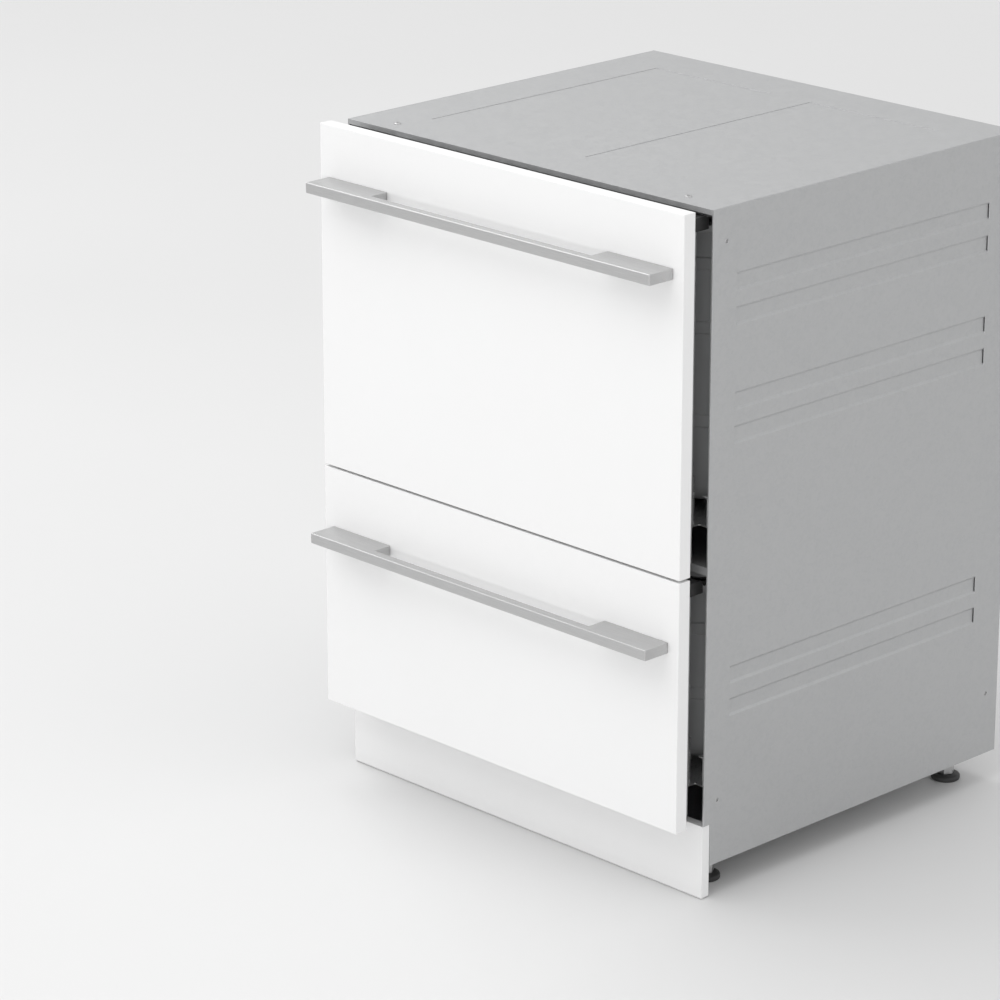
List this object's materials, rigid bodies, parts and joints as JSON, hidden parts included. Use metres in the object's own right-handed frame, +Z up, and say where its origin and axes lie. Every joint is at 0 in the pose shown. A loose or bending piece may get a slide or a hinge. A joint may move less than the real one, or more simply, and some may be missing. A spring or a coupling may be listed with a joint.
{
  "type": "built-in double dishwasher drawer",
  "caption": "Built-in dishwasher with a tall washing drawer over a shallow one, flat cabinet panels and bar handles.",
  "frame": {"origin": "floor level, at the middle of the width and of the overall depth", "axes": "+Z up, +Y from the front panels into the cabinet, +X to the right of someone facing the panels"},
  "size_m": [0.599, 0.6134, 0.832],
  "materials": {
    "panel_lacquer": "smooth satin white lacquer on board",
    "toe_kick": "satin light grey lacquer on board",
    "handle_metal": "brushed along its length, fine bright edge bevels",
    "sheet_steel": "galvanised sheet, faintly spangled",
    "stainless": "fine brushed stainless steel",
    "runner_steel": "bright zinc-plated steel",
    "foot": "black moulded plastic",
    "dark_plastic": "fine-grained dark grey",
    "control_plastic": "smooth dark grey",
    "button": "satin silver-grey",
    "tub_plastic": "smooth light grey moulding",
    "lid_plastic": "smooth light grey moulding",
    "grey_plastic": "fine-grained mid grey",
    "dispenser_plastic": "fine-grained light grey",
    "motor": "dark satin paint",
    "coated_wire": "grey nylon coating on steel wire",
    "rubber": "matt grey rubber",
    "hose": "ribbed grey hose"
  },
  "bodies": {
    "chassis": {"chassis_left": "sheet_steel", "chassis_right": "sheet_steel", "chassis_top": "sheet_steel", "chassis_back": "sheet_steel", "chassis_base": "sheet_steel", "chassis_cross_rail": "sheet_steel", "toe_kick_panel": "toe_kick", "service_duct": "dark_plastic", "upper_fixed_runner_left": "runner_steel", "upper_fixed_runner_right": "runner_steel", "lower_fixed_runner_left": "runner_steel", "lower_fixed_runner_right": "runner_steel", "upper_lid_actuator": "dark_plastic", "lower_lid_actuator": "dark_plastic", "upper_hose": "hose", "lower_hose": "hose"},
    "foot_front_left": {"foot_front_left": "foot"},
    "foot_front_right": {"foot_front_right": "foot"},
    "foot_rear_left": {"foot_rear_left": "foot"},
    "foot_rear_right": {"foot_rear_right": "foot"},
    "upper_lid": {"upper_lid": "lid_plastic", "upper_lid_seal": "rubber"},
    "lower_lid": {"lower_lid": "lid_plastic", "lower_lid_seal": "rubber"},
    "upper_middle_runners": {"upper_middle_runner_left": "runner_steel", "upper_middle_runner_right": "runner_steel"},
    "lower_middle_runners": {"lower_middle_runner_left": "runner_steel", "lower_middle_runner_right": "runner_steel"},
    "upper_drawer": {"upper_front_panel": "panel_lacquer", "upper_handle": "handle_metal", "upper_door_frame": "stainless", "upper_control_strip": "control_plastic", "upper_cradle": "runner_steel", "upper_tub": "tub_plastic", "upper_wash_motor": "motor", "upper_filter_plate": "stainless", "upper_rack": "coated_wire", "upper_dispenser": "dispenser_plastic", "upper_cutlery_basket": "grey_plastic"},
    "lower_drawer": {"lower_front_panel": "panel_lacquer", "lower_handle": "handle_metal", "lower_door_frame": "stainless", "lower_control_strip": "control_plastic", "lower_cradle": "runner_steel", "lower_tub": "tub_plastic", "lower_wash_motor": "motor", "lower_filter_plate": "stainless", "lower_rack": "coated_wire", "lower_dispenser": "dispenser_plastic"},
    "upper_power_button": {"upper_power_button": "button"},
    "lower_power_button": {"lower_power_button": "button"},
    "upper_spray_arm": {"upper_spray_arm": "grey_plastic"},
    "lower_spray_arm": {"lower_spray_arm": "grey_plastic"},
    "upper_drain_filter": {"upper_drain_filter": "grey_plastic"},
    "lower_drain_filter": {"lower_drain_filter": "grey_plastic"},
    "upper_fold_tines": {"upper_fold_tines": "coated_wire"},
    "lower_fold_tines": {"lower_fold_tines": "coated_wire"},
    "upper_cup_rack": {"upper_cup_rack": "coated_wire"},
    "upper_dispenser_door": {"upper_dispenser_door": "grey_plastic"},
    "lower_dispenser_door": {"lower_dispenser_door": "grey_plastic"}
  },
  "joints": [
    {"name": "upper_drawer_slide", "type": "slide", "parent": "chassis", "child": "upper_drawer", "axis": [0, -1, 0], "range_m": [0, 0.48], "deforming": ["upper_hose"]},
    {"name": "lower_drawer_slide", "type": "slide", "parent": "chassis", "child": "lower_drawer", "axis": [0, -1, 0], "range_m": [0, 0.48], "deforming": ["lower_hose"]},
    {"name": "upper_middle_runner_slide", "type": "slide", "parent": "chassis", "child": "upper_middle_runners", "axis": [0, -1, 0], "range_m": [0, 0.24]},
    {"name": "lower_middle_runner_slide", "type": "slide", "parent": "chassis", "child": "lower_middle_runners", "axis": [0, -1, 0], "range_m": [0, 0.24]},
    {"name": "upper_lid_drop", "type": "slide", "parent": "chassis", "child": "upper_lid", "axis": [0, 0, -1], "range_m": [0, 0.0055]},
    {"name": "lower_lid_drop", "type": "slide", "parent": "chassis", "child": "lower_lid", "axis": [0, 0, -1], "range_m": [0, 0.0055]},
    {"name": "foot_front_left_screw", "type": "slide", "parent": "chassis", "child": "foot_front_left", "axis": [0, 0, -1], "range_m": [-0.01, 0.04]},
    {"name": "foot_front_right_screw", "type": "slide", "parent": "chassis", "child": "foot_front_right", "axis": [0, 0, -1], "range_m": [-0.01, 0.04]},
    {"name": "foot_rear_left_screw", "type": "slide", "parent": "chassis", "child": "foot_rear_left", "axis": [0, 0, -1], "range_m": [-0.01, 0.04]},
    {"name": "foot_rear_right_screw", "type": "slide", "parent": "chassis", "child": "foot_rear_right", "axis": [0, 0, -1], "range_m": [-0.01, 0.04]},
    {"name": "upper_power_button_press", "type": "slide", "parent": "upper_drawer", "child": "upper_power_button", "axis": [0, 0, -1], "range_m": [0, 0.0012], "stiffness_N_per_m": 400, "springref_m": -0.001},
    {"name": "lower_power_button_press", "type": "slide", "parent": "lower_drawer", "child": "lower_power_button", "axis": [0, 0, -1], "range_m": [0, 0.0012], "stiffness_N_per_m": 400, "springref_m": -0.001},
    {"name": "upper_spray_arm_spin", "type": "hinge", "parent": "upper_drawer", "child": "upper_spray_arm", "pos_m": [0, 0.01765, 0.48], "axis": [0, 0, 1], "continuous": true},
    {"name": "lower_spray_arm_spin", "type": "hinge", "parent": "lower_drawer", "child": "lower_spray_arm", "pos_m": [0, 0.01765, 0.163], "axis": [0, 0, 1], "continuous": true},
    {"name": "upper_drain_filter_twist", "type": "hinge", "parent": "upper_drawer", "child": "upper_drain_filter", "pos_m": [0.037, 0.01765, 0.459], "axis": [0, 0, 1], "range_deg": [0, 90]},
    {"name": "lower_drain_filter_twist", "type": "hinge", "parent": "lower_drawer", "child": "lower_drain_filter", "pos_m": [0.037, 0.01765, 0.142], "axis": [0, 0, 1], "range_deg": [0, 90]},
    {"name": "upper_dispenser_door_hinge", "type": "hinge", "parent": "upper_drawer", "child": "upper_dispenser_door", "pos_m": [-0.108, -0.1672, 0.72015], "axis": [-1, 0, 0], "range_deg": [0, 90]},
    {"name": "lower_dispenser_door_hinge", "type": "hinge", "parent": "lower_drawer", "child": "lower_dispenser_door", "pos_m": [-0.108, -0.1672, 0.29335], "axis": [-1, 0, 0], "range_deg": [0, 90]},
    {"name": "upper_fold_tines_hinge", "type": "hinge", "parent": "upper_drawer", "child": "upper_fold_tines", "pos_m": [-0.0615, 0.01765, 0.5117], "axis": [0, -1, 0], "range_deg": [0, 85]},
    {"name": "lower_fold_tines_hinge", "type": "hinge", "parent": "lower_drawer", "child": "lower_fold_tines", "pos_m": [-0.0615, 0.01765, 0.1947], "axis": [0, -1, 0], "range_deg": [0, 85]},
    {"name": "upper_cup_rack_hinge", "type": "hinge", "parent": "upper_drawer", "child": "upper_cup_rack", "pos_m": [-0.239, 0.01765, 0.6276], "axis": [0, -1, 0], "range_deg": [0, 94]}
  ],
  "couplings": [
    {"joint": "upper_middle_runner_slide", "follows": "upper_drawer_slide", "ratio": 0.5},
    {"joint": "lower_middle_runner_slide", "follows": "lower_drawer_slide", "ratio": 0.5}
  ]
}
